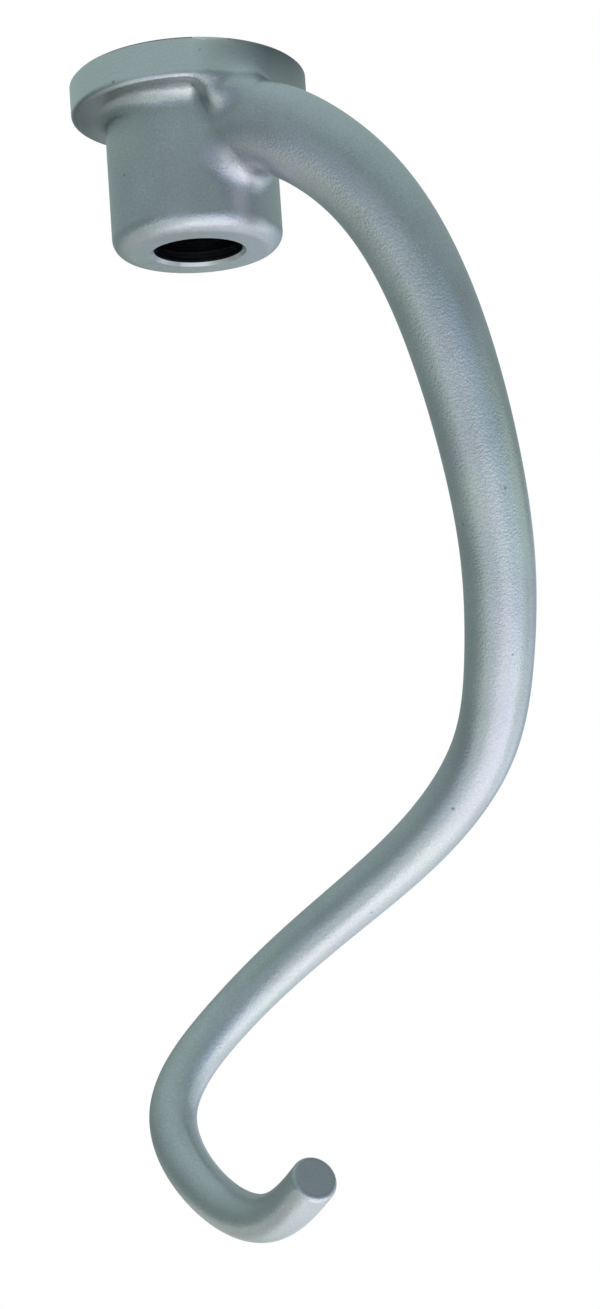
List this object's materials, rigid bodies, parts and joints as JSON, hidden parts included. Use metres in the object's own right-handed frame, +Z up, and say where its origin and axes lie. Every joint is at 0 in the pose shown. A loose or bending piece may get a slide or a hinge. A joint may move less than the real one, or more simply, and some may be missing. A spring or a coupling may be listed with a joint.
{
  "type": "dough hook",
  "caption": "Cast spiral dough hook for a planetary stand mixer: flanged hub with a lined shaft bore and a tapering round arm.",
  "frame": {"origin": "on the shaft's axis, level with the hub's top face", "axes": "+Z up along the mixer's agitator shaft, away from the hook; the arm leaves the hub towards -Y and +X, and the pin's window is on the +Y side"},
  "size_m": [0.1163, 0.0934, 0.3105],
  "materials": {
    "blasted_aluminium": "bead-blasted satin casting",
    "turned_steel": "fine turned, polished bore"
  },
  "bodies": {
    "root": {"hook_casting": "blasted_aluminium", "bore_sleeve": "turned_steel"}
  },
  "joints": []
}
